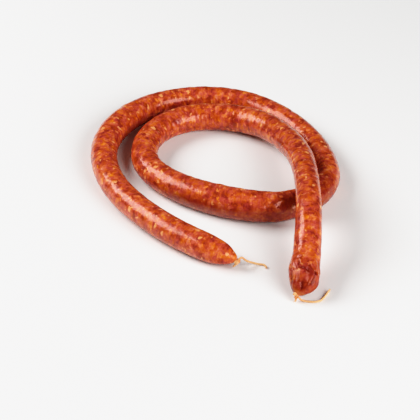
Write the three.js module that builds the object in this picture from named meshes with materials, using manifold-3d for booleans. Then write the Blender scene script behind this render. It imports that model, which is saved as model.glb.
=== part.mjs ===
// A long sausage in one casing, laid in a spiral whose inner end climbs over the outer turn,
// with both ends of the casing gathered and tied off with string.
// Millimetres and degrees. X runs to the right, Y away from the viewer, Z up from the resting plane.

import * as THREE from "three";
import { mergeVertices } from "three/addons/utils/BufferGeometryUtils.js";
import Module from "manifold-3d";

// Girth of the evenly filled casing, and the stretches that hold more or less filling
const CASING_RADIUS = 11.8;
const SWELLS = [
  { at: 60, reach: 70, growth: 0.4 },
  { at: 255, reach: 55, growth: 1.4 },
  { at: 300, reach: 110, growth: -1.1 },
  { at: 480, reach: 70, growth: -0.5 },
  { at: 640, reach: 60, growth: 2.2 },
  { at: 860, reach: 75, growth: 0.6 },
  { at: 1035, reach: 60, growth: -1.1 },
  { at: 1150, reach: 40, growth: 0.9 },
];

// The lay, from the tip of the outer end: one bend after another, each turning clockwise over its length
const LAY_START = { x: 23.5, y: -107.7, heading: 153 };
const BENDS = [
  { length: 130, turn: 30 },
  { length: 65, turn: 26 },
  { length: 100, turn: 64 },
  { length: 115, turn: 74 },
  { length: 110, turn: 41 },
  { length: 35, turn: 39 },
  { length: 65, turn: 68 },
  { length: 100, turn: 40 },
  { length: 115, turn: 116 },
  { length: 85, turn: 74 },
  { length: 80, turn: 26 },
  { length: 130, turn: 13 },
  { length: 20, turn: 22 },
];
const BEND_EASE = 14;

// Where the lay strays off its even bends, towards the inside of the coil
const STRAYS = [
  { at: 262, reach: 60, shift: 2.2 },
  { at: 465, reach: 45, shift: -0.8 },
];
const CASING_LENGTH = BENDS.reduce((sum, bend) => sum + bend.length, 0);

// The inner end leaves the resting plane, lies across the outer turn and comes down again
const CLIMB = { leaves: 850, crest: 1050, lands: 1150, height: 27 };

// The filling is soft, so the underside settles into a flat strip
const SETTLE = 0.6;

// Both ends taper, droop and gather into pleats towards a tied neck with a stub of empty casing
const OUTER_END = { taper: 34, slimness: 1.2, droop: 3 };
const INNER_END = { taper: 24, slimness: 1, droop: 6 };
const PLEATS = { count: 5, depth: 0.1, reach: 14 };
const NECK_RADIUS = 1.2;
const NECK_LENGTH = 3;
const STUB_RADIUS = 1.7;
const STUB_LENGTH = 6;

// Both ends are filled unevenly: the casing bulges and creases there, at an angle round the girth
const FOLDS = [
  { at: 10, around: 30, reach: 8, spread: 50, rise: 1.2 },
  { at: 1112, around: 80, reach: 8, spread: 45, rise: -0.4 },
  { at: 1125, around: 90, reach: 8, spread: 40, rise: 1.2 },
  { at: 1128, around: -15, reach: 3, spread: 40, rise: -0.9 },
  { at: 1139, around: -85, reach: 8, spread: 45, rise: 3.0 },
];

// Spacing of the sections along the casing: fine at the ends, coarse between, and their sides
const LAY_STEP = 2;
const BODY_STEP = 8;
const END_REACH = 46;
const CASING_SIDES = 20;

// String: two turns round each neck, a knot, a short cut end and a long loose tail
const STRING_DIAMETER = 1.5;
const STRING_SIDES = 8;
const TIE_CLEARANCE = 0.3;
const TIE_TURNS = 2;
const TIE_PITCH = 1.3;
const TIE_PAST_TAPER = 2;
const TIE_TURN_STEPS = 16;
const KNOT = { length: 1.5, thickness: 1.3, crossing: 0.7, rings: 6, sides: 10 };
const OUTER_TIE = { knotAround: -25, endLength: 4.2, endLean: 20 };
const INNER_TIE = { knotAround: -60, endLength: 2, endLean: 55 };
const TAIL_STEPS = 12;

// The loose tails start beside their knots, fall to the resting plane and lie along it
const OUTER_TAIL = [
  [23.2, -102.9, 10.0],
  [25.1, -102.6, 8.0],
  [28.1, -101.9, 5.4],
  [32.3, -100.7, 3.0],
  [36.5, -100.5, 1.6],
  [40.3, -100.3, 0.8],
  [41.3, -100.7, 0.8],
  [42.7, -102.3, 0.8],
  [43.4, -104.4, 0.8],
];
const INNER_TAIL = [
  [70.7, -150.7, 3.3],
  [73.3, -149.9, 1.5],
  [77.4, -150.1, 0.8],
  [82.3, -150.5, 0.8],
  [86.9, -148.7, 0.8],
  [90.0, -144.7, 1.0],
  [92.6, -140.4, 1.6],
  [94.8, -136.7, 2.4],
];

const CASING = new THREE.MeshStandardMaterial({ color: 0xb23a1c, roughness: 0.35, metalness: 0 });
const STRING = new THREE.MeshStandardMaterial({ color: 0xe9a861, roughness: 0.9, metalness: 0 });

const wasm = await Module();
wasm.setup();

const UP = new THREE.Vector3(0, 0, 1);
const radians = THREE.MathUtils.degToRad;

// Gaussian hump: 1 at its middle, falling off over its reach
function hump(offset, reach) {
  return Math.exp(-((offset / reach) ** 2));
}

// Integral of a ramp from 0 to 1: a parabola inside the ramp, a straight line past it
function rampIntegral(x) {
  return 0.5 * THREE.MathUtils.clamp(x, 0, 1) ** 2 + Math.max(x - 1, 0);
}

// Direction of the lay at a distance from the outer end; each bend eases into the next
function headingAt(along) {
  let heading = LAY_START.heading;
  let bendStart = 0;
  for (const { length, turn } of BENDS) {
    const entered = rampIntegral((along - bendStart + BEND_EASE) / length);
    const passed = rampIntegral((along - bendStart - BEND_EASE) / length);
    heading -= (turn * length * (entered - passed)) / (2 * BEND_EASE);
    bendStart += length;
  }
  return radians(heading);
}

// How far the lay strays to the inside at a distance from the outer end
function strayAt(along) {
  return STRAYS.reduce((sum, { at, reach, shift }) => sum + shift * hump(along - at, reach), 0);
}

// Radius of the filled casing before its ends are drawn in
function filledRadius(along) {
  return SWELLS.reduce((sum, { at, reach, growth }) => sum + growth * hump(along - at, reach), CASING_RADIUS);
}

// How far along an end's taper a point is: 0 at the neck, 1 where the casing is full
function taperAt(distance, end) {
  return Math.min(distance / end.taper, 1);
}

// Quarter-ellipse taper of one end, made slimmer by a power
function taperWidth(distance, end) {
  const open = 1 - Math.max(taperAt(distance, end), 0);
  return Math.sqrt(1 - open ** 2) ** end.slimness;
}

// Radius with the tapers, the necks and the stubs beyond them, closed on the axis at both tips
function drawnRadius(along) {
  const beyond = Math.max(-along, along - CASING_LENGTH);
  if (beyond >= STUB_LENGTH) return 0;
  if (beyond > NECK_LENGTH) return STUB_RADIUS;
  const width = taperWidth(along, OUTER_END) * taperWidth(CASING_LENGTH - along, INNER_END);
  return Math.max(filledRadius(along) * width, NECK_RADIUS);
}

// Height of the axis: the settled radius, the climb over the outer turn, and the drooping tips
function axisHeight(along) {
  const rise = THREE.MathUtils.smoothstep(along, CLIMB.leaves, CLIMB.crest);
  const fall = THREE.MathUtils.smoothstep(along, CLIMB.crest, CLIMB.lands);
  const outerDroop = OUTER_END.droop * (1 - taperAt(along, OUTER_END)) ** 2;
  const innerDroop = INNER_END.droop * (1 - taperAt(CASING_LENGTH - along, INNER_END)) ** 2;
  return filledRadius(along) - SETTLE + CLIMB.height * rise * (1 - fall) - outerDroop - innerDroop;
}

// Pleats and folds: how far the casing stands off its plain radius at an angle from the top
function relief(along, angle, radius) {
  const inset = Math.max(Math.min(along, CASING_LENGTH - along), 0);
  const gather = 1 - Math.min(inset / PLEATS.reach, 1);
  const pleat = -PLEATS.depth * gather * radius * (0.5 + 0.5 * Math.cos(PLEATS.count * angle));
  return FOLDS.reduce((sum, { at, around, reach, spread, rise }) => {
    const away = THREE.MathUtils.euclideanModulo(THREE.MathUtils.radToDeg(angle) - around + 180, 360) - 180;
    return sum + rise * hump(along - at, reach) * hump(away, spread);
  }, pleat);
}

// Sections along the axis, stepped off from the outer tip, each with its centre, radius and own axes
function laySections() {
  const steps = (CASING_LENGTH + 2 * STUB_LENGTH) / LAY_STEP;
  const place = new THREE.Vector2(LAY_START.x, LAY_START.y);
  const sections = [];
  for (let i = 0; i <= steps; i += 1) {
    const along = i * LAY_STEP - STUB_LENGTH;
    const inside = headingAt(along) - Math.PI / 2;
    const stray = strayAt(along);
    const centre = new THREE.Vector3(
      place.x + stray * Math.cos(inside),
      place.y + stray * Math.sin(inside),
      axisHeight(along),
    );
    sections.push({ along, centre, radius: drawnRadius(along) });
    const heading = headingAt(along + LAY_STEP / 2);
    place.x += LAY_STEP * Math.cos(heading);
    place.y += LAY_STEP * Math.sin(heading);
  }
  sections.forEach((section, i) => {
    const before = sections[Math.max(i - 1, 0)];
    const after = sections[Math.min(i + 1, steps)];
    section.forward = new THREE.Vector3().subVectors(after.centre, before.centre).normalize();
    section.side = new THREE.Vector3().crossVectors(section.forward, UP).normalize();
    section.up = new THREE.Vector3().crossVectors(section.side, section.forward);
  });
  return sections;
}

// The sections that become rings of the mesh: all of them at the ends, every few in between
function ringSections(sections) {
  const every = BODY_STEP / LAY_STEP;
  return sections.filter(({ along }, i) => {
    const inset = Math.min(along, CASING_LENGTH - along);
    return inset < END_REACH || i % every === 0;
  });
}

// The sausage is turned as a straight closed form, then every ring is carried to its section
function sausageGeometry(rings) {
  const profile = rings.map(({ along, radius }) => new THREE.Vector2(radius, along));
  const geometry = new THREE.LatheGeometry(profile, CASING_SIDES);
  const position = geometry.attributes.position;
  const point = new THREE.Vector3();
  for (let i = 0; i < position.count; i += 1) {
    const { along, centre, side, up, radius } = rings[i % rings.length];
    const angle = Math.atan2(position.getX(i), position.getZ(i));
    const reach = radius === 0 ? 0 : radius + relief(along, angle, radius);
    point.copy(centre);
    point.addScaledVector(side, reach * Math.sin(angle));
    point.addScaledVector(up, reach * Math.cos(angle));
    position.setXYZ(i, point.x, point.y, Math.max(point.z, 0));
  }
  geometry.computeVertexNormals();
  return geometry;
}

// A three.js geometry as a solid, with the vertices that faces share merged
function solidOf(geometry) {
  geometry.deleteAttribute("normal");
  geometry.deleteAttribute("uv");
  const merged = mergeVertices(geometry);
  const vertProperties = new Float32Array(merged.attributes.position.array);
  const triVerts = new Uint32Array(merged.index.array);
  return new wasm.Manifold(new wasm.Mesh({ numProp: 3, vertProperties, triVerts }));
}

// Several closed geometries joined into one
function joined(geometries) {
  const solid = geometries.map(solidOf).reduce((whole, piece) => whole.add(piece));
  const { vertProperties, triVerts } = solid.getMesh();
  const geometry = new THREE.BufferGeometry();
  geometry.setAttribute("position", new THREE.BufferAttribute(vertProperties, 3));
  geometry.setIndex(new THREE.BufferAttribute(triVerts, 1));
  geometry.computeVertexNormals();
  return geometry;
}

// Turns of string round a neck on the Z axis, a knot of two crossed loops and a short cut end;
// X is up and Y to the casing's side, and the cut end hangs down, leaning away along Z
function tieGeometry({ knotAround, endLength, endLean }) {
  const stringRadius = STRING_DIAMETER / 2;
  const turnRadius = NECK_RADIUS + TIE_CLEARANCE + stringRadius;
  const turns = Array.from({ length: TIE_TURNS }, (_, i) =>
    new THREE.TorusGeometry(turnRadius, stringRadius, STRING_SIDES, TIE_TURN_STEPS)
      .translate(0, 0, (i - (TIE_TURNS - 1) / 2) * TIE_PITCH));
  const loops = [-1, 1].map((way) =>
    new THREE.SphereGeometry(1, KNOT.sides, KNOT.rings)
      .scale(KNOT.thickness, KNOT.length, KNOT.thickness)
      .translate(turnRadius + stringRadius, way * KNOT.crossing, 0)
      .rotateZ(radians(knotAround)));
  const cutEnd = new THREE.CapsuleGeometry(stringRadius, endLength, 4, STRING_SIDES)
    .rotateZ(Math.PI / 2)
    .translate(-endLength / 2, 0, 0)
    .rotateY(radians(endLean))
    .translate(-turnRadius, 0, 0);
  return joined([...turns, ...loops, cutEnd]);
}

// A tie set on its neck, Z pointing away from the filling
function tieMesh(name, tie, neck, outwards) {
  const mesh = new THREE.Mesh(tieGeometry(tie), STRING);
  mesh.name = name;
  const away = neck.forward.clone().multiplyScalar(outwards);
  const across = new THREE.Vector3().crossVectors(away, neck.up);
  mesh.quaternion.setFromRotationMatrix(new THREE.Matrix4().makeBasis(neck.up, across, away));
  mesh.position.copy(neck.centre);
  return mesh;
}

// A loose tail: the string's round section carried along its route
function tailMesh(name, route) {
  const section = new THREE.Shape(
    Array.from({ length: STRING_SIDES }, (_, i) => {
      const angle = (i / STRING_SIDES) * 2 * Math.PI;
      return new THREE.Vector2(Math.cos(angle), Math.sin(angle)).multiplyScalar(STRING_DIAMETER / 2);
    }),
  );
  const extrudePath = new THREE.CatmullRomCurve3(route.map((point) => new THREE.Vector3(...point)));
  const mesh = new THREE.Mesh(new THREE.ExtrudeGeometry(section, { steps: TAIL_STEPS, extrudePath }), STRING);
  mesh.name = name;
  return mesh;
}

const sections = laySections();
const sectionAt = (distance) => sections.find(({ along }) => along === distance);

const sausage = new THREE.Mesh(sausageGeometry(ringSections(sections)), CASING);
sausage.name = "sausage";

const coil = new THREE.Group();
coil.name = "coiled_sausage";
coil.add(
  sausage,
  tieMesh("outer_end_tie", OUTER_TIE, sectionAt(-TIE_PAST_TAPER), -1),
  tieMesh("inner_end_tie", INNER_TIE, sectionAt(CASING_LENGTH + TIE_PAST_TAPER), 1),
  tailMesh("outer_end_tail", OUTER_TAIL),
  tailMesh("inner_end_tail", INNER_TAIL),
);

export default coil;
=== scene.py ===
"""The looks of a coiled raw sausage with tied ends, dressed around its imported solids. Metres, +Z up."""
import math

import bpy
import numpy as np
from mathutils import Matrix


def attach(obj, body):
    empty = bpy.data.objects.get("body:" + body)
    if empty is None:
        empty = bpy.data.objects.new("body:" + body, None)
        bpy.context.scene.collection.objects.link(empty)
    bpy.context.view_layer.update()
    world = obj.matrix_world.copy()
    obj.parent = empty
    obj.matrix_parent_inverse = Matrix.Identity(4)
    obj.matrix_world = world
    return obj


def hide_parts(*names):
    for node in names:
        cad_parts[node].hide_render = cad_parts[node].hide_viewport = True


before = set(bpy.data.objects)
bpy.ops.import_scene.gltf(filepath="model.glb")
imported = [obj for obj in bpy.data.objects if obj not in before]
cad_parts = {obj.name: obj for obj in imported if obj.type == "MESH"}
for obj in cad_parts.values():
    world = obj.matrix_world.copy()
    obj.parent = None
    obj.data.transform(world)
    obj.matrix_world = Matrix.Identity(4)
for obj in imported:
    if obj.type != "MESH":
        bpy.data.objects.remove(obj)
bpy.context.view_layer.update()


# Viewpoint: a long lens in front of the tied ends, looking down on the coil. The picture is square,
# and its middle looks at the resting plane just in front of the middle of the coil.
PICTURE_PX = 420
FOCAL_PX = 2020
SENSOR_MM = 36
LOOK_DOWN = math.radians(36.1)
EYE = (-0.0038, -1.4447, 1.0379)

lens = bpy.data.cameras.new("viewpoint")
lens.sensor_width = SENSOR_MM
lens.lens = SENSOR_MM * FOCAL_PX / PICTURE_PX
viewpoint = bpy.data.objects.new("viewpoint", lens)
viewpoint.location = EYE
viewpoint.rotation_euler = (math.pi / 2 - LOOK_DOWN, 0, 0)
bpy.context.scene.collection.objects.link(viewpoint)
bpy.context.scene.camera = viewpoint


# Filled casing: coarse red meat and fat pressed into one long natural casing, left uncut and laid in
# a spiral. Its girth follows the filling, its ends taper to tied necks, and its underside settles flat.
CASING_RADIUS = 0.0118
# Stretches with more or less filling: distance along the casing, reach, growth of the radius.
SWELLS = (
    (0.060, 0.070, 0.0004),
    (0.255, 0.055, 0.0014),
    (0.300, 0.110, -0.0011),
    (0.480, 0.070, -0.0005),
    (0.640, 0.060, 0.0022),
    (0.860, 0.075, 0.0006),
    (1.035, 0.060, -0.0011),
    (1.150, 0.040, 0.0009),
)
LAY_START = (0.0235, -0.1077)
LAY_HEADING = 153
LAY_LEAD = 0.006
# The lay from the outer end to the inner one: length and turn to the right, in degrees, of each bend.
BENDS = (
    (0.130, 30),
    (0.065, 26),
    (0.100, 64),
    (0.115, 74),
    (0.110, 41),
    (0.035, 39),
    (0.065, 68),
    (0.100, 40),
    (0.115, 116),
    (0.085, 74),
    (0.080, 26),
    (0.130, 13),
    (0.020, 22),
)
BEND_EASE = 0.014
# Small strays of the lay to the right: distance along the casing, reach, shift.
STRAYS = ((0.262, 0.060, 0.0022), (0.465, 0.045, -0.0008))
CASING_LENGTH = sum(length for length, turn in BENDS)
CLIMB_LEAVES, CLIMB_CREST, CLIMB_LANDS, CLIMB_HEIGHT = 0.850, 1.050, 1.150, 0.027
SETTLE = 0.0006
OUTER_TAPER, OUTER_SLIMNESS, OUTER_DROOP = 0.034, 1.2, 0.003
INNER_TAPER, INNER_SLIMNESS, INNER_DROOP = 0.024, 1.0, 0.006
NECK_RADIUS = 0.0008
NECK_LENGTH = 0.0014
STUB_RADIUS = 0.0017
STUB_LENGTH = 0.0034
STUB_EASE = 0.001
# Gathers towards the necks: count round the casing, depth as a share of the radius, reach.
PLEATS = ((5, 0.07, 0.012), (13, 0.04, 0.006))
# Broad folds: distance along, degrees from the top to the right, reach, spread in degrees, rise.
FOLDS = (
    (0.0005, 30, 0.0032, 70, 0.0013),
    (0.0100, 30, 0.0080, 50, 0.0012),
    (0.6015, -25, 0.0065, 17, 0.0010),
    (1.1120, 80, 0.0080, 45, -0.0004),
    (1.1250, 90, 0.0080, 40, 0.0012),
    (1.1280, -15, 0.0030, 40, -0.0009),
    (1.1365, -40, 0.0035, 22, 0.0005),
    (1.1390, -85, 0.0080, 45, 0.0030),
)
# Sharp creases: distance along and degrees from the top of one end, then of the other, width, depth.
CREASES = (
    (1.1265, 26, 1.1300, 20, 0.0010, 0.0009),
    (1.1290, 62, 1.1330, 59, 0.0010, 0.0006),
    (1.1320, 12, 1.1335, -24, 0.0009, 0.0009),
    (1.1290, -22, 1.1330, -52, 0.0010, 0.0010),
    (1.1330, -52, 1.1410, -58, 0.0010, 0.0010),
    (1.1370, 52, 1.1430, 46, 0.0015, 0.0007),
    (1.1430, -16, 1.1460, -30, 0.0016, 0.0009),
)
CREASE_LIP = 0.5
# Crease depth at which the painted crease shade is full.
CREASE_SHADE_DEPTH = 0.0010
# Each kind of unevenness is a sum of waves: how many, their shortest and longest, and a seed.
LUMP_HEIGHT, LUMP_WAVES = 0.00008, (48, (0.006, 0.016), 11)
RIDGE_HEIGHT, RIDGE_STRETCH, RIDGE_WAVES = 0.00005, (1, 0.35, 0.35), (32, (0.004, 0.009), 13)
TAUT_AT, TAUT_REACH, TAUT_SHARE = 0.065, 0.070, 0.75
SLACK_AT, SLACK_REACH, SLACK_HEIGHT = 1.132, 0.013, 0.00026
SLACK_STRETCH, SLACK_WAVES = (0.5, 1, 1), (24, (0.0035, 0.0070), 12)
WRINKLE_SPACING, WRINKLE_DEPTH, WRINKLE_SHARPNESS = 0.0055, 0.00035, 4
WRINKLE_SHIFT, WRINKLE_WAVES = 1.6, (16, (0.015, 0.040), 21)
WRINKLE_TIGHT, WRINKLE_TIGHTER = 0.13, 0.20
WALK_STEP = 0.0005
END_REACH, END_STEP, BODY_STEP = 0.046, 0.0005, 0.0014
TIP_STEP = 0.00003
CASING_SIDES = 92


def hump(offset, reach):
    """Gaussian hump: 1 in its middle, falling away over its reach."""
    return np.exp(-(offset / reach) ** 2)


def ease(value):
    """Smooth step: 0 below 0, 1 above 1, and three squares less two cubes between."""
    held = np.clip(value, 0, 1)
    return held * held * (3 - 2 * held)


def ramp_integral(value):
    """Integral of a ramp from 0 to 1: half the square inside it, a straight line past it."""
    return 0.5 * np.clip(value, 0, 1) ** 2 + np.maximum(value - 1, 0)


def lay_heading(along):
    """Start heading less what every bend has turned so far, in radians; each bend eases in and out."""
    heading = np.full_like(along, float(LAY_HEADING))
    bend_start = 0.0
    for length, turn in BENDS:
        entered = ramp_integral((along - bend_start + BEND_EASE) / length)
        passed = ramp_integral((along - bend_start - BEND_EASE) / length)
        heading -= turn * length * (entered - passed) / (2 * BEND_EASE)
        bend_start += length
    return np.radians(heading)


def filled_radius(along):
    """Even radius plus a hump for every stretch that holds more or less filling."""
    return CASING_RADIUS + sum(growth * hump(along - at, reach) for at, reach, growth in SWELLS)


def taper_width(distance, taper, slimness):
    """Quarter ellipse from 0 at the neck to 1 at the full casing, raised to a power."""
    short = 1 - np.clip(distance / taper, 0, 1)
    return np.sqrt(1 - short ** 2) ** slimness


def drawn_radius(along):
    """Filled radius drawn in by both tapers, never under the neck, with a stub past each neck."""
    outer = taper_width(along, OUTER_TAPER, OUTER_SLIMNESS)
    inner = taper_width(CASING_LENGTH - along, INNER_TAPER, INNER_SLIMNESS)
    body = np.maximum(filled_radius(along) * outer * inner, NECK_RADIUS)
    beyond = np.maximum(-along, along - CASING_LENGTH)
    flare = NECK_RADIUS + (STUB_RADIUS - NECK_RADIUS) * ease((beyond - NECK_LENGTH) / STUB_EASE)
    tip = np.sqrt(np.clip((STUB_LENGTH - beyond) / STUB_EASE, 0, 1))
    return np.where(beyond > 0, flare * tip, body)


def axis_height(along):
    """Settled radius, plus the climb over the outer turn, less the droop of both tips."""
    climb = ease((along - CLIMB_LEAVES) / (CLIMB_CREST - CLIMB_LEAVES))
    climb = climb * (1 - ease((along - CLIMB_CREST) / (CLIMB_LANDS - CLIMB_CREST)))
    outer = OUTER_DROOP * (1 - np.minimum(along / OUTER_TAPER, 1)) ** 2
    inner = INNER_DROOP * (1 - np.minimum((CASING_LENGTH - along) / INNER_TAPER, 1)) ** 2
    return filled_radius(along) - SETTLE + CLIMB_HEIGHT * climb - outer - inner


def lay_axis(along):
    """Walks the plan in small steps, each along the heading at its middle, and strays to the right."""
    walked = np.arange(-LAY_LEAD, CASING_LENGTH + LAY_LEAD + WALK_STEP, WALK_STEP)
    heading = lay_heading(walked[:-1] + WALK_STEP / 2)
    east = LAY_START[0] + WALK_STEP * np.concatenate(([0], np.cumsum(np.cos(heading))))
    north = LAY_START[1] + WALK_STEP * np.concatenate(([0], np.cumsum(np.sin(heading))))
    stray = sum(shift * hump(along - at, reach) for at, reach, shift in STRAYS)
    there = lay_heading(along)
    east = np.interp(along, walked, east) + stray * np.sin(there)
    north = np.interp(along, walked, north) - stray * np.cos(there)
    return np.stack([east, north, axis_height(along)], -1)


def unit(vectors):
    """Vectors divided by their own lengths."""
    return vectors / np.linalg.norm(vectors, axis=-1, keepdims=True)


def lay_frames(along):
    """Centres on the axis, with the way forward, to the right and up at each of them."""
    centre = lay_axis(along)
    forward = unit(np.gradient(centre, along, axis=0))
    side = unit(np.cross(forward, (0, 0, 1)))
    return centre, forward, side, np.cross(side, forward)


def wave_sum(place, count, lengths, seed):
    """Even noise: a sum of plane waves with drawn directions, lengths and phases, of unit spread."""
    draw = np.random.default_rng(seed)
    way = unit(draw.normal(size=(count, 3)))
    number = 2 * np.pi * way / draw.uniform(*lengths, size=(count, 1))
    phase = draw.uniform(0, 2 * np.pi, size=count)
    return np.cos(place @ number.T + phase).sum(axis=-1) * math.sqrt(2 / count)


def turn_between(angle, degrees):
    """Smallest turn from an angle in degrees to angles in radians, in radians."""
    return (angle - math.radians(degrees) + np.pi) % (2 * np.pi) - np.pi


def gathered(along, angle, radius):
    """Pleats towards the necks: a share of the radius, less where cosines of the angle are high."""
    inset = np.maximum(np.minimum(along, CASING_LENGTH - along), 0)
    relief = 0
    for count, depth, reach in PLEATS:
        gather = 1 - np.minimum(inset / reach, 1)
        relief = relief - depth * gather * radius * (0.5 + 0.5 * np.cos(count * angle))
    return relief


def folded(along, angle):
    """Broad folds and bulges: humps along the casing times humps round it."""
    relief = 0
    for at, around, reach, spread, rise in FOLDS:
        away = turn_between(angle, around)
        relief = relief + rise * hump(along - at, reach) * hump(away, math.radians(spread))
    return relief


def creased(along, angle, radius):
    """Sharp creases of the slack end: valleys on straight lines of the unrolled casing, with lips."""
    relief = 0
    for start, start_around, end, end_around, width, depth in CREASES:
        run, turn = end - start, math.radians(end_around - start_around) * radius
        ahead, aside = along - start, turn_between(angle, start_around) * radius
        share = np.clip((ahead * run + aside * turn) / (run ** 2 + turn ** 2), 0, 1)
        off = np.hypot(ahead - share * run, aside - share * turn)
        relief = relief + depth * (CREASE_LIP * hump(off - 2 * width, width) - hump(off, width))
    return relief


def wrinkled(along, angle, straight):
    """Crosswise wrinkles inside tight bends: narrow cosine valleys at shifted, even spacing."""
    turning = -np.gradient(lay_heading(along[:, 0]), along[:, 0])[:, None] * CASING_RADIUS
    tight = ease((turning - WRINKLE_TIGHT) / (WRINKLE_TIGHTER - WRINKLE_TIGHT))
    inside = ease(np.sin(angle))
    shift = WRINKLE_SHIFT * wave_sum(straight, *WRINKLE_WAVES)
    valley = (0.5 + 0.5 * np.cos(2 * np.pi * along / WRINKLE_SPACING + shift)) ** WRINKLE_SHARPNESS
    return -WRINKLE_DEPTH * tight * inside * valley


def uneven(along, radius, straight):
    """Lumps of filling and ridges round it, less where taut or thin, and loose waves at the slack end."""
    lumps = LUMP_HEIGHT * wave_sum(straight, *LUMP_WAVES)
    lumps = lumps + RIDGE_HEIGHT * wave_sum(straight * RIDGE_STRETCH, *RIDGE_WAVES)
    lumps = lumps * (1 - TAUT_SHARE * hump(along - TAUT_AT, TAUT_REACH))
    slack = SLACK_HEIGHT * hump(along - SLACK_AT, SLACK_REACH)
    slack = slack * wave_sum(straight * SLACK_STRETCH, *SLACK_WAVES)
    return ease(radius / CASING_RADIUS) * lumps + slack


def casing_surface():
    """Rings round the axis at each distance along it: radius plus relief, cut off flat at the plane.

    Also gives each point's place in the straight sausage, before it was laid, and its share of the painted
    crease shade, by the crease's depth."""
    tip = STUB_LENGTH - TIP_STEP
    outer = np.arange(-tip, END_REACH, END_STEP)
    inner = (CASING_LENGTH - outer)[::-1]
    body = np.linspace(outer[-1], inner[0], int((inner[0] - outer[-1]) / BODY_STEP))[1:-1]
    along = np.concatenate([outer, body, inner])
    centre, forward, side, up = lay_frames(along)
    along = along[:, None]
    angle = np.linspace(0, 2 * np.pi, CASING_SIDES, endpoint=False)[None, :]
    radius = drawn_radius(along)
    straight = np.stack(np.broadcast_arrays(along, radius * np.sin(angle), radius * np.cos(angle)), -1)
    crease = creased(along, angle, radius)
    reach = radius + gathered(along, angle, radius) + folded(along, angle)
    reach = reach + wrinkled(along, angle, straight) + uneven(along, radius, straight) + crease
    rings = centre[:, None] + (reach * np.sin(angle))[..., None] * side[:, None]
    rings = rings + (reach * np.cos(angle))[..., None] * up[:, None]
    rings[..., 2] = np.maximum(rings[..., 2], 0)
    return rings, straight, np.clip(-crease / CREASE_SHADE_DEPTH, 0, 1)[..., None]


def tube_faces(count, sides, first):
    """Quads between neighbouring rings and a fan from each end ring to its pole, facing outwards."""
    ring, side = np.meshgrid(np.arange(count - 1), np.arange(sides), indexing="ij")
    after = (side + 1) % sides
    low, high = ring * sides, (ring + 1) * sides
    quads = np.stack([low + side, low + after, high + after, high + side], -1).reshape(-1, 4) + first
    start, last = first, first + (count - 1) * sides
    side = np.arange(sides)
    after = (side + 1) % sides
    pole = np.full(sides, first + count * sides)
    first_fan = np.stack([start + after, start + side, pole], -1)
    last_fan = np.stack([last + side, last + after, pole + 1], -1)
    return quads.tolist() + first_fan.tolist() + last_fan.tolist()


def with_poles(rings):
    """All ring values in order, then the mean of the first ring and of the last."""
    width = rings.shape[-1]
    return np.concatenate([rings.reshape(-1, width), rings[:1].mean(1), rings[-1:].mean(1)])


def tubes_object(name, tubes):
    """One mesh object from closed tubes, each given as an array of rings."""
    points, faces = [], []
    first = 0
    for rings in tubes:
        points.append(with_poles(rings))
        faces += tube_faces(rings.shape[0], rings.shape[1], first)
        first += len(points[-1])
    mesh = bpy.data.meshes.new(name)
    mesh.from_pydata(np.concatenate(points).tolist(), [], faces)
    mesh.shade_smooth()
    piece = bpy.data.objects.new(name, mesh)
    bpy.context.scene.collection.objects.link(piece)
    return piece


def add_places(piece, name, tubes):
    """Stores a vector at every point of a tubes object, in the order of its tubes."""
    values = np.concatenate([with_poles(rings) for rings in tubes]).astype(np.float32)
    piece.data.attributes.new(name, "FLOAT_VECTOR", "POINT").data.foreach_set("vector", values.ravel())


def add_shares(piece, name, tubes):
    """Stores a share at every point of a tubes object, in the order of its tubes."""
    values = np.concatenate([with_poles(rings) for rings in tubes]).astype(np.float32)
    piece.data.attributes.new(name, "FLOAT", "POINT").data.foreach_set("value", values.ravel())


def put_node(tree, kind, inputs, **settings):
    """Adds a node with its settings; each input takes a fixed value or another node's output."""
    node = tree.nodes.new(kind)
    for name, value in settings.items():
        setattr(node, name, value)
    for key, value in inputs.items():
        if isinstance(value, bpy.types.NodeSocket):
            tree.links.new(value, node.inputs[key])
        else:
            node.inputs[key].default_value = value
    return node


def put_attribute(tree, name):
    """Adds what is stored at the points under a name, and gives its outputs."""
    return put_node(tree, "ShaderNodeAttribute", {}, attribute_name=name).outputs


def put_math(tree, operation, *values):
    """Adds a Math node and gives its result."""
    return put_node(tree, "ShaderNodeMath", dict(enumerate(values)), operation=operation).outputs[0]


def put_vector(tree, operation, *values):
    """Adds a Vector Math node and gives its vector."""
    return put_node(tree, "ShaderNodeVectorMath", dict(enumerate(values)), operation=operation).outputs[0]


def put_stretch(tree, place, scale):
    """Adds a Mapping that multiplies places by a scale, and gives them."""
    return put_node(tree, "ShaderNodeMapping", {"Vector": place, "Scale": scale}).outputs["Vector"]


def put_range(tree, value, given, shown=(0, 1), kind="LINEAR"):
    """Adds a clamped map of a value from one range to another, and gives its result."""
    ends = {"From Min": given[0], "From Max": given[1], "To Min": shown[0], "To Max": shown[1]}
    node = put_node(tree, "ShaderNodeMapRange", {"Value": value, **ends}, interpolation_type=kind)
    return node.outputs["Result"]


def put_fade(tree, value, given):
    """Adds a smooth fade, from 0 at the first end of a range to 1 at its other end."""
    return put_range(tree, value, given, kind="SMOOTHSTEP")


def put_clamp(tree, value):
    """Adds a clamp from 0 to 1 and gives its result."""
    return put_node(tree, "ShaderNodeClamp", {"Value": value}).outputs["Result"]


def put_noise(tree, place, scale, detail, roughness=0.5):
    """Adds a cloudy noise with finer detail, and gives its outputs."""
    inputs = {"Vector": place, "Scale": scale, "Detail": detail, "Roughness": roughness}
    return put_node(tree, "ShaderNodeTexNoise", inputs).outputs


def put_cells(tree, place, scale, smoothness):
    """Adds soft-edged cells, each of one drawn shade, and gives the shade."""
    inputs = {"Vector": place, "Scale": scale, "Smoothness": smoothness}
    cells = put_node(tree, "ShaderNodeTexVoronoi", inputs, feature="SMOOTH_F1")
    return put_node(tree, "ShaderNodeSeparateColor", {"Color": cells.outputs["Color"]}).outputs["Red"]


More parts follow.
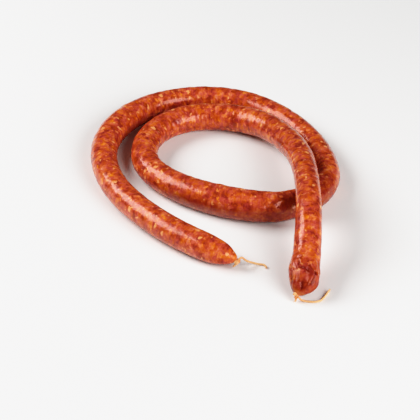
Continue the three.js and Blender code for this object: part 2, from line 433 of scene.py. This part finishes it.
def put_ramp(tree, value, stops):
    """Adds a colour ramp with the given positions and colours, and gives its colour."""
    node = put_node(tree, "ShaderNodeValToRGB", {"Fac": value})
    elements = node.color_ramp.elements
    while len(elements) < len(stops):
        elements.new(1)
    for element, (position, colour) in zip(elements, stops):
        element.position = position
        element.color = (*colour, 1)
    return node.outputs["Color"]


def put_mix(tree, share, first, second):
    """Adds a colour mix, from the first colour to the second, and gives its result."""
    node = put_node(tree, "ShaderNodeMix", {0: share, 6: first, 7: second}, data_type="RGBA")
    return node.outputs[2]


MOTTLE_CLOUD = (0.3, 0.7)


def mottle_group():
    """Shared effect: cloudy patches where red paprika fat has soaked in, as a mask from 0 to 1."""
    group = bpy.data.node_groups.new("paprika_mottle", "ShaderNodeTree")
    group.interface.new_socket("Place", in_out="INPUT", socket_type="NodeSocketVector")
    group.interface.new_socket("Scale", in_out="INPUT", socket_type="NodeSocketFloat")
    group.interface.new_socket("Mask", in_out="OUTPUT", socket_type="NodeSocketFloat")
    given = group.nodes.new("NodeGroupInput").outputs
    cloud = put_noise(group, given["Place"], given["Scale"], 3, 0.55)["Fac"]
    put_node(group, "NodeGroupOutput", {"Mask": put_range(group, cloud, MOTTLE_CLOUD)})
    return group


PAPRIKA_MOTTLE = mottle_group()


def put_mottle(tree, place, scale):
    """Adds the paprika mottle at a scale and gives its mask."""
    inputs = {"Place": place, "Scale": scale}
    return put_node(tree, "ShaderNodeGroup", inputs, node_tree=PAPRIKA_MOTTLE).outputs["Mask"]


# The mince, smeared and packed along the casing. Chunks and crumbs: scale and softness of their edges.
SMEAR_SCALE, SMEAR_DETAIL, SMEAR_SHIFT = 260, 3, (0.007, 0.007, 0.007)
PACKING = (1.3, 1, 1)
CHUNKS, CRUMBS = (230, 0.6), (560, 0.3)
STREAK_STRETCH, STREAK_SCALE, STREAK_DETAIL = (1, 0.12, 0.12), 800, 2
MOTTLE_SCALE = 110
PALE_MOTTLE, PALE_STREAKS, PALE_CRUMBS, PALE_CHUNKS, PALE_LESS = 0.34, 0.36, 0.17, 0.38, -0.14
MINCE_STOPS = (
    (0.24, (0.255, 0.034, 0.017)),
    (0.40, (0.395, 0.063, 0.027)),
    (0.52, (0.480, 0.087, 0.035)),
    (0.66, (0.575, 0.130, 0.050)),
    (0.82, (0.695, 0.218, 0.082)),
)
SEEP_NOISE, SEEP_RANGE = (190, 3, 0.6), (0.35, 0.65)
AMBER_TINT = (1.04, 1.09, 0.26, 1)
ROSE_TINT = (0.98, 0.95, 1.65, 1)
# Bits of fat: scale of the scatter, growth and least of the drawn size, softness of the edge.
STAINED_PIECES = (190, 0.80, 0.28, 0.26)
CLEAN_PIECES = (150, 0.74, 0.28, 0.22)
PIECE_SHARE = 0.85
STAINED_FAT = (0.76, 0.205, 0.062, 1)
CLEAN_FAT = (0.86, 0.350, 0.135, 1)
# Painted shade and darker meat: a painted shadow where the inner end crosses over, painted shade on the
# inner turn's lower flank, darker meat at the inner tip, and painted shade in the creases.
DARK_MEAT_AND_SHADE = (0.130, 0.013, 0.007, 1)
# Painted shadow on the front of the stretch that the inner end crosses over: where it starts, where it
# ends, the side, and its share.
CROSSING_SHADE_FROM, CROSSING_SHADE_TO, CROSSING_SHADE_SIDE = (0.528, 0.566), (0.607, 0.593), (0.003, -0.006)
CROSSING_SHADE_SHARE = 0.65
# Painted shade on the lower flank of the inner turn: middle, fades, heights across it, and its share.
FLANK_SHADE_AT, FLANK_SHADE_REACH, FLANK_SHADE_HEIGHTS = 0.630, (0.090, 0.050), (0.0092, 0.001)
FLANK_SHADE_SHARE = 0.58
TIP_STRETCH, TIP_SHARE = 0.032, 0.62
# Painted shade in the creases, partly the thicker gathered casing.
CREASE_SHADE_SHARE = 0.6
# The casing over it: pale at the necks, moist and glossy, with less sheen where it is gathered.
HALF_LENGTH = CASING_LENGTH / 2
NECK_FADE = (HALF_LENGTH - 0.002, HALF_LENGTH + 0.001)
NECK_COLOUR = (0.70, 0.24, 0.09, 1)
CASING_ROUGHNESS = (0.13, 0.24)
CASING_IOR = 1.56
SHEEN_TINT = (1.0, 0.56, 0.50, 1)
SHEEN_FADE, SHEEN_LEVELS = (HALF_LENGTH - 0.030, HALF_LENGTH - 0.014), (0.5, 0.22)
RAISED_FAT, RAISED_CRUMBS = 0.5, 0.3
RAISED_STRENGTH, RAISED_HEIGHT = 0.33, 0.0003


def put_pieces(tree, place, scale, growth, least, softness):
    """Scattered soft-edged bits, one a Voronoi cell at most: a drawn size less the distance, as a mask."""
    cells = put_node(tree, "ShaderNodeTexVoronoi", {"Vector": place, "Scale": scale}).outputs
    draw = put_node(tree, "ShaderNodeSeparateColor", {"Color": cells["Color"]}).outputs["Green"]
    size = put_math(tree, "MULTIPLY_ADD", draw, growth, -least)
    depth = put_math(tree, "SUBTRACT", size, cells["Distance"])
    return put_range(tree, depth, (0, softness), (0, PIECE_SHARE), "SMOOTHSTEP")


def put_shade_and_darkness(tree, distance, right, up):
    """Share of painted shade and darker meat at a distance along the straight sausage and a place across
    it.
    """
    # Painted shadow of the crossing end, on the front side of the stretch beneath it.
    crossing_shade = put_math(
        tree, "MULTIPLY",
        put_fade(tree, distance, CROSSING_SHADE_FROM), put_fade(tree, distance, CROSSING_SHADE_TO),
    )
    crossing_shade = put_math(tree, "MULTIPLY", crossing_shade, put_fade(tree, right, CROSSING_SHADE_SIDE))
    crossing_shade = put_math(tree, "MULTIPLY", crossing_shade, CROSSING_SHADE_SHARE)
    # Painted shade on the lower half of the inner turn near the crossing.
    flank_shade_off = put_math(tree, "ABSOLUTE", put_math(tree, "SUBTRACT", distance, FLANK_SHADE_AT))
    flank_shade = put_math(
        tree, "MULTIPLY",
        put_fade(tree, flank_shade_off, FLANK_SHADE_REACH), put_fade(tree, up, FLANK_SHADE_HEIGHTS),
    )
    flank_shade = put_math(tree, "MULTIPLY", flank_shade, FLANK_SHADE_SHARE)
    tip = put_range(tree, distance, (CASING_LENGTH - TIP_STRETCH, CASING_LENGTH), (0, TIP_SHARE))
    dark = put_math(tree, "ADD", put_math(tree, "MAXIMUM", crossing_shade, flank_shade), tip)
    # Painted shade in the creases, partly the thicker gathered casing.
    dark = put_math(tree, "MULTIPLY_ADD", put_attribute(tree, "crease")["Fac"], CREASE_SHADE_SHARE, dark)
    return put_clamp(tree, dark)


def filled_casing_material():
    """Mince of dark and bright red with stained and clean fat, seen through a thin glossy casing, with
    painted shade at the crossing, on the lower flank and in the creases.
    """
    material = bpy.data.materials.new("filled_casing")
    material.use_nodes = True
    tree = material.node_tree
    place = put_attribute(tree, "straight")["Vector"]
    smear = put_noise(tree, place, SMEAR_SCALE, SMEAR_DETAIL)["Color"]
    packed = put_stretch(tree, put_vector(tree, "MULTIPLY_ADD", smear, SMEAR_SHIFT, place), PACKING)
    chunk = put_cells(tree, packed, *CHUNKS)
    crumb = put_cells(tree, packed, *CRUMBS)
    streaks = put_noise(tree, put_stretch(tree, place, STREAK_STRETCH), STREAK_SCALE, STREAK_DETAIL)["Fac"]
    mottle = put_mottle(tree, place, MOTTLE_SCALE)
    paleness = put_math(tree, "MULTIPLY_ADD", mottle, PALE_MOTTLE, PALE_LESS)
    paleness = put_math(tree, "MULTIPLY_ADD", streaks, PALE_STREAKS, paleness)
    paleness = put_math(tree, "MULTIPLY_ADD", crumb, PALE_CRUMBS, paleness)
    paleness = put_math(tree, "MULTIPLY_ADD", chunk, PALE_CHUNKS, paleness)
    mince = put_ramp(tree, paleness, MINCE_STOPS)
    stained = put_pieces(tree, packed, *STAINED_PIECES)
    clean = put_pieces(tree, packed, *CLEAN_PIECES)
    rosy = put_range(tree, put_noise(tree, packed, *SEEP_NOISE)["Fac"], SEEP_RANGE)
    tint = put_mix(tree, rosy, AMBER_TINT, ROSE_TINT)
    tinted = put_vector(tree, "MULTIPLY", put_mix(tree, stained, mince, STAINED_FAT), tint)
    filling = put_mix(tree, clean, tinted, CLEAN_FAT)
    distance, right, up = put_node(tree, "ShaderNodeSeparateXYZ", {"Vector": place}).outputs
    # Painted shade and darker meat, mixed into the filling.
    filling = put_mix(tree, put_shade_and_darkness(tree, distance, right, up), filling, DARK_MEAT_AND_SHADE)
    off_middle = put_math(tree, "ABSOLUTE", put_math(tree, "SUBTRACT", distance, HALF_LENGTH))
    colour = put_mix(tree, put_range(tree, off_middle, NECK_FADE), filling, NECK_COLOUR)
    raised = put_math(tree, "MULTIPLY_ADD", stained, RAISED_FAT, chunk)
    raised = put_math(tree, "MULTIPLY_ADD", crumb, RAISED_CRUMBS, raised)
    bump_inputs = {"Height": raised, "Strength": RAISED_STRENGTH, "Distance": RAISED_HEIGHT}
    bump = put_node(tree, "ShaderNodeBump", bump_inputs)
    shader = tree.nodes["Principled BSDF"]
    tree.links.new(colour, shader.inputs["Base Color"])
    tree.links.new(put_range(tree, crumb, (0, 1), CASING_ROUGHNESS), shader.inputs["Roughness"])
    tree.links.new(bump.outputs["Normal"], shader.inputs["Normal"])
    sheen = put_range(tree, off_middle, SHEEN_FADE, SHEEN_LEVELS)
    tree.links.new(sheen, shader.inputs["Specular IOR Level"])
    shader.inputs["IOR"].default_value = CASING_IOR
    shader.inputs["Specular Tint"].default_value = SHEEN_TINT
    return material


casing_rings, casing_straight, casing_crease_shade = casing_surface()
filled_casing = tubes_object("filled_casing", [casing_rings])
add_places(filled_casing, "straight", [casing_straight])
# Share of painted crease shade at each point.
add_shares(filled_casing, "crease", [casing_crease_shade])
filled_casing.data.materials.append(filled_casing_material())
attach(filled_casing, "root")
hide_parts("sausage")


# Ties: soft cotton string of three twisted plies, wound round each gathered neck and knotted. One end
# of the string is cut short and frayed; paprika fat has stained the turns orange.
STRING_DIAMETER = 0.0015
STRING_RADIUS = STRING_DIAMETER / 2
PLY_COUNT = 3
PLY_RADIUS = STRING_RADIUS * 0.74
PLY_OFFSET = STRING_RADIUS * 0.50
PLY_PITCH = 0.0046
PLY_SIDES = 8
ROUTE_STEP = 0.00025
TIE_BITE = 0.0004
TIE_PITCH = 0.0013
TIE_STEPS = 60
KNOT_THICKNESS = 0.0007
KNOT_STEPS = 90
FIBRE_RADIUS = 0.00008
FIBRE_SIDES = 4
FIBRE_RINGS = 7
FIBRE_LENGTHS = (0.0006, 0.0015)
FIBRE_SCATTER = STRING_RADIUS * 0.36
FIBRE_FAN, FIBRE_CURL, FIBRE_SUNK, FIBRE_TAPER = 0.45, 0.5, 0.4, 0.7
ASKEW = (0.3, 0.5, 0.8)


def even_route(points, step):
    """The same route with its points spaced evenly, a step apart."""
    gone = np.concatenate(([0], np.cumsum(np.linalg.norm(np.diff(points, axis=0), axis=1))))
    at = np.linspace(0, gone[-1], max(int(gone[-1] / step), 8))
    return np.stack([np.interp(at, gone, points[:, axis]) for axis in range(3)], -1)


def string_plies(route, lean):
    """Plies wound round a route as helices, each a round tube; lean says which way is out at each point.

    Also gives each ring point's place in the straight ply: along it, and across it both ways."""
    gone = np.concatenate(([0], np.cumsum(np.linalg.norm(np.diff(route, axis=0), axis=1))))
    forward = unit(np.gradient(route, axis=0))
    out = unit(lean - (lean * forward).sum(-1, keepdims=True) * forward)
    across = np.cross(forward, out)
    angle = np.linspace(0, 2 * np.pi, PLY_SIDES, endpoint=False)[None, :, None]
    round_x, round_y = np.cos(angle), np.sin(angle)
    tubes, places = [], []
    for ply in range(PLY_COUNT):
        turn = 2 * np.pi * (gone / PLY_PITCH + ply / PLY_COUNT)[:, None]
        away = np.cos(turn) * out + np.sin(turn) * across
        middle = route + PLY_OFFSET * away
        ahead = unit(np.gradient(middle, axis=0))
        beside = np.cross(ahead, away)[:, None]
        tubes.append(middle[:, None] + PLY_RADIUS * (round_x * away[:, None] + round_y * beside))
        place = (gone[:, None] + ply, PLY_RADIUS * round_x[..., 0], PLY_RADIUS * round_y[..., 0])
        places.append(np.stack(np.broadcast_arrays(*place), -1))
    return tubes, places


def frayed_fibres(tip, forward, count, seed):
    """Loose fibres from a cut end: thin tapering tubes that fan out from it and curl by the square.

    Also gives each ring point's place, as for a ply."""
    draw = np.random.default_rng(seed)
    root = tip + FIBRE_SCATTER * draw.normal(size=(count, 1, 3))
    way = unit(forward + FIBRE_FAN * draw.normal(size=(count, 1, 3)))
    curl = draw.uniform(-FIBRE_CURL, FIBRE_CURL, size=(count, 1, 3))
    length = draw.uniform(*FIBRE_LENGTHS, size=(count, 1, 1))
    share = np.linspace(-FIBRE_SUNK, 1, FIBRE_RINGS)[None, :, None]
    middle = root + length * (share * way + np.maximum(share, 0) ** 2 * curl)
    middle[..., 2] = np.maximum(middle[..., 2], FIBRE_RADIUS)
    side = unit(np.cross(way, ASKEW))[:, :, None]
    beside = np.cross(way[:, :, None], side)
    angle = np.linspace(0, 2 * np.pi, FIBRE_SIDES, endpoint=False)[:, None]
    thin = FIBRE_RADIUS * (1 - FIBRE_TAPER * np.maximum(share, 0))[..., None]
    rings = middle[:, :, None] + thin * (np.cos(angle) * side + np.sin(angle) * beside)
    places = np.zeros_like(rings)
    places[..., 0] = np.arange(count)[:, None, None]
    return list(rings), list(places)


def wound_turns(first, last):
    """Helix round the axis from one distance along it to another; the string bites into the neck."""
    turns = abs(last - first) / TIE_PITCH
    along = np.linspace(first, last, int(turns * TIE_STEPS))
    centre, forward, side, up = lay_frames(along)
    turn = np.linspace(0, 2 * np.pi * turns, len(along))[:, None]
    away = np.cos(turn) * up + np.sin(turn) * side
    off = drawn_radius(along)[:, None] - TIE_BITE + STRING_RADIUS
    return centre + off * away, away


def overhand_knot(middle, outwards, onwards, size):
    """Closed trefoil: sines and cosines of one, two and three turns, flat against the neck."""
    turn = np.linspace(0, 2 * np.pi, KNOT_STEPS)
    flat_x = np.sin(turn) + 2 * np.sin(2 * turn)
    flat_y = np.cos(turn) - 2 * np.cos(2 * turn)
    lift = -np.sin(3 * turn)
    core = 1 - 2 / np.hypot(flat_x, flat_y)
    across = np.cross(outwards, onwards)
    axes = np.stack([onwards, across, outwards])
    route = np.stack([size * flat_x, size * flat_y, KNOT_THICKNESS * lift], -1) @ axes + middle
    lean = np.stack([core * flat_x, core * flat_y, lift], -1) @ axes
    return route, lean


def string_stain(tubes, neck, reach):
    """Share of staining at each point: full beside the neck, none past its reach."""
    return [1 - ease(np.linalg.norm(rings - neck, axis=-1, keepdims=True) / reach) for rings in tubes]


STRING_PALE = (0.96, 0.58, 0.28, 1)
STRING_STAINED = (0.74, 0.31, 0.13, 1)
STRING_MOTTLE_SCALE = 500
SOAKED_BY_STAIN, SOAKED_BY_MOTTLE = 0.7, 0.5
COMBED, LINE_SCALE, LINE_DETAIL = (0.15, 1, 1), 9000, 2
LINE_RANGE, LINE_SHADES = (0.3, 0.7), (0.75, 1.1)
LINE_STRENGTH, LINE_HEIGHT = 0.6, 0.0001
STRING_ROUGHNESS = 0.85


def cotton_string_material():
    """Matt cotton plies with fine fibre lines, pale where clean and orange where fat has soaked in."""
    material = bpy.data.materials.new("cotton_string")
    material.use_nodes = True
    tree = material.node_tree
    place = put_attribute(tree, "strand")["Vector"]
    lines = put_noise(tree, put_stretch(tree, place, COMBED), LINE_SCALE, LINE_DETAIL)["Fac"]
    soaked = put_math(tree, "MULTIPLY", put_attribute(tree, "stain")["Fac"], SOAKED_BY_STAIN)
    mottle = put_mottle(tree, place, STRING_MOTTLE_SCALE)
    soaked = put_clamp(tree, put_math(tree, "MULTIPLY_ADD", mottle, SOAKED_BY_MOTTLE, soaked))
    colour = put_mix(tree, soaked, STRING_PALE, STRING_STAINED)
    shade = put_range(tree, lines, LINE_RANGE, LINE_SHADES)
    shaded = put_node(tree, "ShaderNodeVectorMath", {0: colour, "Scale": shade}, operation="SCALE")
    bump_inputs = {"Height": lines, "Strength": LINE_STRENGTH, "Distance": LINE_HEIGHT}
    bump = put_node(tree, "ShaderNodeBump", bump_inputs)
    shader = tree.nodes["Principled BSDF"]
    tree.links.new(shaded.outputs["Vector"], shader.inputs["Base Color"])
    tree.links.new(bump.outputs["Normal"], shader.inputs["Normal"])
    shader.inputs["Roughness"].default_value = STRING_ROUGHNESS
    return material


COTTON_STRING = cotton_string_material()


def dress_string(name, node, tubes, places, neck, stain_reach):
    """Mesh of a string piece for a node, with its strand places and its stain stored, and its finish."""
    piece = tubes_object(name, tubes)
    add_places(piece, "strand", places)
    add_shares(piece, "stain", string_stain(tubes, neck, stain_reach))
    piece.data.materials.append(COTTON_STRING)
    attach(piece, "root")
    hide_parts(node)
    return piece


TIE_STAIN_REACH = 0.007
TIE_FIBRES = 26
NECK_PROBE = 0.0005
TIES = {
    "outer_end_knot": {
        "node": "outer_end_tie", "turns": (-0.0004, -0.0020), "neck": -0.0012, "knot_around": 95,
        "knot_size": 0.00048, "end_way": (-0.3, -0.75, 0.6), "end_length": 0.0044, "seed": 31,
    },
    "inner_end_knot": {
        "node": "inner_end_tie", "turns": (1.1500, 1.1513), "neck": 1.1506, "knot_around": 40,
        "knot_size": 0.00030, "end_way": (0.9, -0.3, 0.0), "end_length": 0.0042, "seed": 32,
    },
}


def neck_frame(distance):
    """Centre of a neck, with up, across and away from the filling."""
    probed = lay_frames(distance + np.array([-NECK_PROBE, 0, NECK_PROBE]))
    centre, forward, side, up = (rows[1] for rows in probed)
    away = forward if distance > HALF_LENGTH else -forward
    return centre, up, np.cross(away, up), away


for tie_name, tie in TIES.items():
    neck, up, across, away = neck_frame(tie["neck"])
    turn_radius = NECK_RADIUS - TIE_BITE + STRING_RADIUS
    around = math.radians(tie["knot_around"])
    outwards = math.cos(around) * up + math.sin(around) * across
    knot_middle = neck + (turn_radius + STRING_RADIUS) * outwards
    end_way = unit(np.array(tie["end_way"]) @ np.stack([away, up, across]))
    end_start = neck - turn_radius * up
    end_tip = end_start + tie["end_length"] * end_way
    end_route = even_route(np.stack([end_start, end_tip]), ROUTE_STEP)
    parts = [
        string_plies(*wound_turns(*tie["turns"])),
        string_plies(*overhand_knot(knot_middle, outwards, away, tie["knot_size"])),
        string_plies(end_route, np.broadcast_to(across, end_route.shape)),
        frayed_fibres(end_tip, end_way, TIE_FIBRES, tie["seed"]),
    ]
    tubes = sum((part[0] for part in parts), [])
    places = sum((part[1] for part in parts), [])
    dress_string(tie_name, tie["node"], tubes, places, neck, TIE_STAIN_REACH)


# Tails: the long ends of the same strings, limp and bare, each coming out of its knot, falling to the
# resting plane and lying along it in a loose curve to a frayed cut end.
TAIL_STAIN_REACH = 0.020
TAIL_FIBRES = 30
TAIL_STEPS = 400
TAILS = {
    "outer_end_loose_string": ("outer_end_tail", (
        (0.0198, -0.1061, 0.0101),
        (0.0211, -0.1047, 0.0107),
        (0.0232, -0.1029, 0.0100),
        (0.0251, -0.1026, 0.0080),
        (0.0281, -0.1019, 0.0054),
        (0.0323, -0.1007, 0.0030),
        (0.0365, -0.1005, 0.0016),
        (0.0403, -0.1003, 0.0008),
        (0.0413, -0.1007, 0.0008),
        (0.0427, -0.1023, 0.0008),
        (0.0434, -0.1044, 0.0008),
    )),
    "inner_end_loose_string": ("inner_end_tail", (
        (0.0686, -0.1513, 0.0064),
        (0.0707, -0.1507, 0.0033),
        (0.0733, -0.1499, 0.0015),
        (0.0774, -0.1501, 0.0008),
        (0.0823, -0.1505, 0.0008),
        (0.0869, -0.1487, 0.0008),
        (0.0900, -0.1447, 0.0010),
        (0.0926, -0.1404, 0.0016),
        (0.0948, -0.1367, 0.0024),
    )),
}


def smooth_route(stops):
    """Cubic through every stop, its slope there taken from both neighbours over their distance."""
    stops = np.array(stops)
    gone = np.concatenate(([0], np.cumsum(np.linalg.norm(np.diff(stops, axis=0), axis=1))))
    slope = np.gradient(stops, gone, axis=0)
    at = np.linspace(0, gone[-1], TAIL_STEPS)
    leg = np.clip(np.searchsorted(gone, at, side="right") - 1, 0, len(stops) - 2)
    span = (gone[leg + 1] - gone[leg])[:, None]
    share = (at - gone[leg])[:, None] / span
    weight = share * share * (3 - 2 * share)
    leaving = share * (1 - share) ** 2 * span * slope[leg]
    arriving = share * share * (share - 1) * span * slope[leg + 1]
    return (1 - weight) * stops[leg] + weight * stops[leg + 1] + leaving + arriving


for seed, (tail_name, (tail_node, stops)) in enumerate(TAILS.items(), start=41):
    route = even_route(smooth_route(stops), ROUTE_STEP)
    route[:, 2] = np.maximum(route[:, 2], PLY_OFFSET + PLY_RADIUS)
    tubes, places = string_plies(route, np.broadcast_to((0.0, 0.0, 1.0), route.shape))
    fibres, fibre_places = frayed_fibres(route[-1], unit(route[-1] - route[-4]), TAIL_FIBRES, seed)
    tubes, places = tubes + fibres, places + fibre_places
    tail = dress_string(tail_name, tail_node, tubes, places, route[0], TAIL_STAIN_REACH)


# Floor and light: a plain pale surface, two large soft lights, on the left and in front on the right,
# an even dim surround, and film that holds the brightest parts back.
FLOOR_HALF = 3.0
FLOOR_COLOUR = (0.88, 0.875, 0.865, 1)
FLOOR_ROUGHNESS = 0.6
LIGHT_DISTANCE = 1.6
# Each light: degrees round from +X towards +Y, degrees up, width and height in degrees, radiance.
LIGHTS = {
    "left_softbox": (167, 39, (40, 31), 9.6),
    "right_softbox": (315, 30, (40, 38), 8.2),
}
SURROUND = 0.07
FILM_WHITE = 2.0
# The film's curve: light that falls on it, light that it shows.
FILM_STOPS = (
    (0.025, 0.009), (0.0625, 0.034), (0.125, 0.089), (0.25, 0.2225), (0.375, 0.36), (0.5, 0.49),
    (0.625, 0.606), (0.75, 0.708), (0.875, 0.800), (1.0, 0.868), (1.1, 0.902), (1.25, 0.926), (1.6, 0.955),
)

floor_corners = [(x * FLOOR_HALF, y * FLOOR_HALF, 0) for x, y in ((-1, -1), (1, -1), (1, 1), (-1, 1))]
floor_mesh = bpy.data.meshes.new("floor")
floor_mesh.from_pydata(floor_corners, [], [(0, 1, 2, 3)])
floor = bpy.data.objects.new("floor", floor_mesh)
bpy.context.scene.collection.objects.link(floor)
floor_material = bpy.data.materials.new("floor")
floor_material.use_nodes = True
floor_shader = floor_material.node_tree.nodes["Principled BSDF"]
floor_shader.inputs["Base Color"].default_value = FLOOR_COLOUR
floor_shader.inputs["Roughness"].default_value = FLOOR_ROUGHNESS
floor_mesh.materials.append(floor_material)


def soft_light(name, azimuth, elevation, spread, radiance):
    """Rectangular light in a direction from the coil and facing it; its spread is what the coil sees."""
    turn, tilt = math.radians(azimuth), math.radians(90 - elevation)
    lamp = bpy.data.lights.new(name, "AREA")
    lamp.shape = "RECTANGLE"
    width, height = (2 * LIGHT_DISTANCE * math.tan(math.radians(degrees / 2)) for degrees in spread)
    lamp.size, lamp.size_y = width, height
    lamp.energy = radiance * math.pi * lamp.size * lamp.size_y
    light = bpy.data.objects.new(name, lamp)
    way = (math.sin(tilt) * math.cos(turn), math.sin(tilt) * math.sin(turn), math.cos(tilt))
    light.location = [LIGHT_DISTANCE * part for part in way]
    light.rotation_euler = (tilt, 0, turn + math.pi / 2)
    bpy.context.scene.collection.objects.link(light)


for light_name, light in LIGHTS.items():
    soft_light(light_name, *light)

surround = bpy.data.worlds.new("studio")
surround.use_nodes = True
surround.node_tree.nodes["Background"].inputs["Color"].default_value = (1, 1, 1, 1)
surround.node_tree.nodes["Background"].inputs["Strength"].default_value = SURROUND
bpy.context.scene.world = surround

film = bpy.context.scene.view_settings
film.view_transform = "Standard"
film.use_curve_mapping = True
film_curve = film.curve_mapping.curves[3]
film.curve_mapping.white_level = (FILM_WHITE, FILM_WHITE, FILM_WHITE)
for at, shown in FILM_STOPS:
    film_curve.points.new(at / FILM_WHITE, shown)
film.curve_mapping.update()
